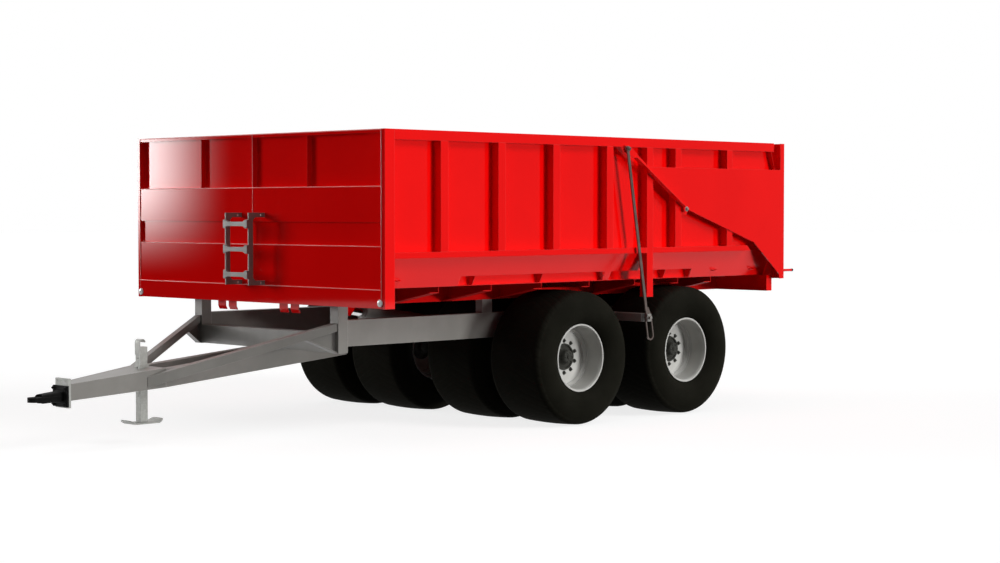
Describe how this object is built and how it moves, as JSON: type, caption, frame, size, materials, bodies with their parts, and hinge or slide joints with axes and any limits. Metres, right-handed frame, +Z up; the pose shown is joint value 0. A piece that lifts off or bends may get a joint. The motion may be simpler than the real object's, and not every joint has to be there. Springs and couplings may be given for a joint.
{
  "type": "peat wagon",
  "caption": "Towed tandem tipping trailer with a tall ribbed box body, twin low-pressure wheels, a V drawbar with a parking jack, and a rod-opened tailgate.",
  "frame": {"origin": "on the ground under the middle of the whole trailer", "axes": "+X forward along the drawbar, +Y to the left, +Z up"},
  "size_m": [8.844, 4.136, 2.9766],
  "materials": {
    "red_paint": "gloss",
    "grey_paint": "satin",
    "rim_paint": "satin",
    "hub_iron": "matt",
    "tyre_rubber": "matt",
    "eye_iron": "matt",
    "rod_steel": "satin",
    "chrome_rod": "polished"
  },
  "bodies": {
    "chassis": {"side_beams": "grey_paint", "body_posts": "grey_paint", "cross_members": "grey_paint", "bogie_beams": "grey_paint", "bogie_pivots": "grey_paint", "rod_arms": "grey_paint", "tip_shafts": "grey_paint", "drawbar_nose": "grey_paint", "drawbar_legs": "grey_paint", "drawbar_struts": "grey_paint", "drawbar_plate": "grey_paint", "tow_eye": "eye_iron", "jack_sleeve": "grey_paint"},
    "body": {"floor_sheet": "red_paint", "floor_bearers": "red_paint", "subframe_beams": "red_paint", "rear_beam": "red_paint", "side_sheets": "red_paint", "side_skirts": "red_paint", "side_ribs_left": "red_paint", "side_ribs_right": "red_paint", "top_rails": "red_paint", "lower_rails": "red_paint", "front_wall": "red_paint", "front_frame": "red_paint", "corner_posts": "red_paint", "front_tabs": "red_paint", "ladder": "grey_paint", "cylinder_cheeks": "red_paint", "gate_pivots": "red_paint"},
    "tailgate": {"gate_side_left": "red_paint", "gate_side_right": "red_paint", "gate_panel": "red_paint", "gate_edges": "red_paint", "gate_frame": "red_paint", "gate_pins": "red_paint"},
    "tailgate_rod_left": {"gate_rod_left": "rod_steel"},
    "tailgate_rod_right": {"gate_rod_right": "rod_steel"},
    "cylinder_barrel": {"cylinder_barrel": "grey_paint"},
    "cylinder_rod": {"cylinder_rod": "chrome_rod"},
    "jack_leg": {"jack_leg": "grey_paint"},
    "wheels_front_left": {"tyres_front_left": "tyre_rubber", "rims_front_left": "rim_paint", "hub_front_left": "hub_iron"},
    "wheels_front_right": {"tyres_front_right": "tyre_rubber", "rims_front_right": "rim_paint", "hub_front_right": "hub_iron"},
    "wheels_rear_left": {"tyres_rear_left": "tyre_rubber", "rims_rear_left": "rim_paint", "hub_rear_left": "hub_iron"},
    "wheels_rear_right": {"tyres_rear_right": "tyre_rubber", "rims_rear_right": "rim_paint", "hub_rear_right": "hub_iron"}
  },
  "joints": [
    {"name": "body_tip", "type": "hinge", "parent": "chassis", "child": "body", "pos_m": [-3.481, 0, 1.15], "axis": [0, -1, 0], "range_deg": [0, 45]},
    {"name": "tailgate_swing", "type": "hinge", "parent": "body", "child": "tailgate", "pos_m": [-2.461, 0, 2.233], "axis": [0, 1, 0], "range_deg": [0, 60.5]},
    {"name": "tailgate_rod_left_swing", "type": "hinge", "parent": "tailgate", "child": "tailgate_rod_left", "pos_m": [-1.506, 2.01, 2.859], "axis": [0, -1, 0], "range_deg": [0, 43.62]},
    {"name": "tailgate_rod_right_swing", "type": "hinge", "parent": "tailgate", "child": "tailgate_rod_right", "pos_m": [-1.506, -2.01, 2.859], "axis": [0, -1, 0], "range_deg": [0, 43.62]},
    {"name": "cylinder_swing", "type": "hinge", "parent": "chassis", "child": "cylinder_barrel", "pos_m": [-2.081, 0, 0.75], "axis": [0, -1, 0], "range_deg": [0, 56.98]},
    {"name": "cylinder_slide", "type": "slide", "parent": "cylinder_barrel", "child": "cylinder_rod", "axis": [0.9874, 0, 0.158], "range_m": [0, 0.9007]},
    {"name": "jack_slide", "type": "slide", "parent": "chassis", "child": "jack_leg", "axis": [0, 0, 1], "range_m": [-0.088, 0.25]},
    {"name": "wheels_front_left_spin", "type": "hinge", "parent": "chassis", "child": "wheels_front_left", "pos_m": [-0.935, 1.09, 0.6975], "axis": [0, 1, 0], "continuous": true},
    {"name": "wheels_front_right_spin", "type": "hinge", "parent": "chassis", "child": "wheels_front_right", "pos_m": [-0.935, -1.09, 0.6975], "axis": [0, 1, 0], "continuous": true},
    {"name": "wheels_rear_left_spin", "type": "hinge", "parent": "chassis", "child": "wheels_rear_left", "pos_m": [-2.627, 1.09, 0.6975], "axis": [0, 1, 0], "continuous": true},
    {"name": "wheels_rear_right_spin", "type": "hinge", "parent": "chassis", "child": "wheels_rear_right", "pos_m": [-2.627, -1.09, 0.6975], "axis": [0, 1, 0], "continuous": true}
  ],
  "couplings": [
    {"joint": "tailgate_swing", "follows": "body_tip", "ratio": 1.34},
    {"joint": "tailgate_rod_left_swing", "follows": "body_tip", "ratio": 0.965},
    {"joint": "tailgate_rod_right_swing", "follows": "body_tip", "ratio": 0.965},
    {"joint": "cylinder_swing", "follows": "body_tip", "ratio": 1.2618},
    {"joint": "cylinder_slide", "follows": "body_tip", "m_per_rad": 1.1455}
  ]
}
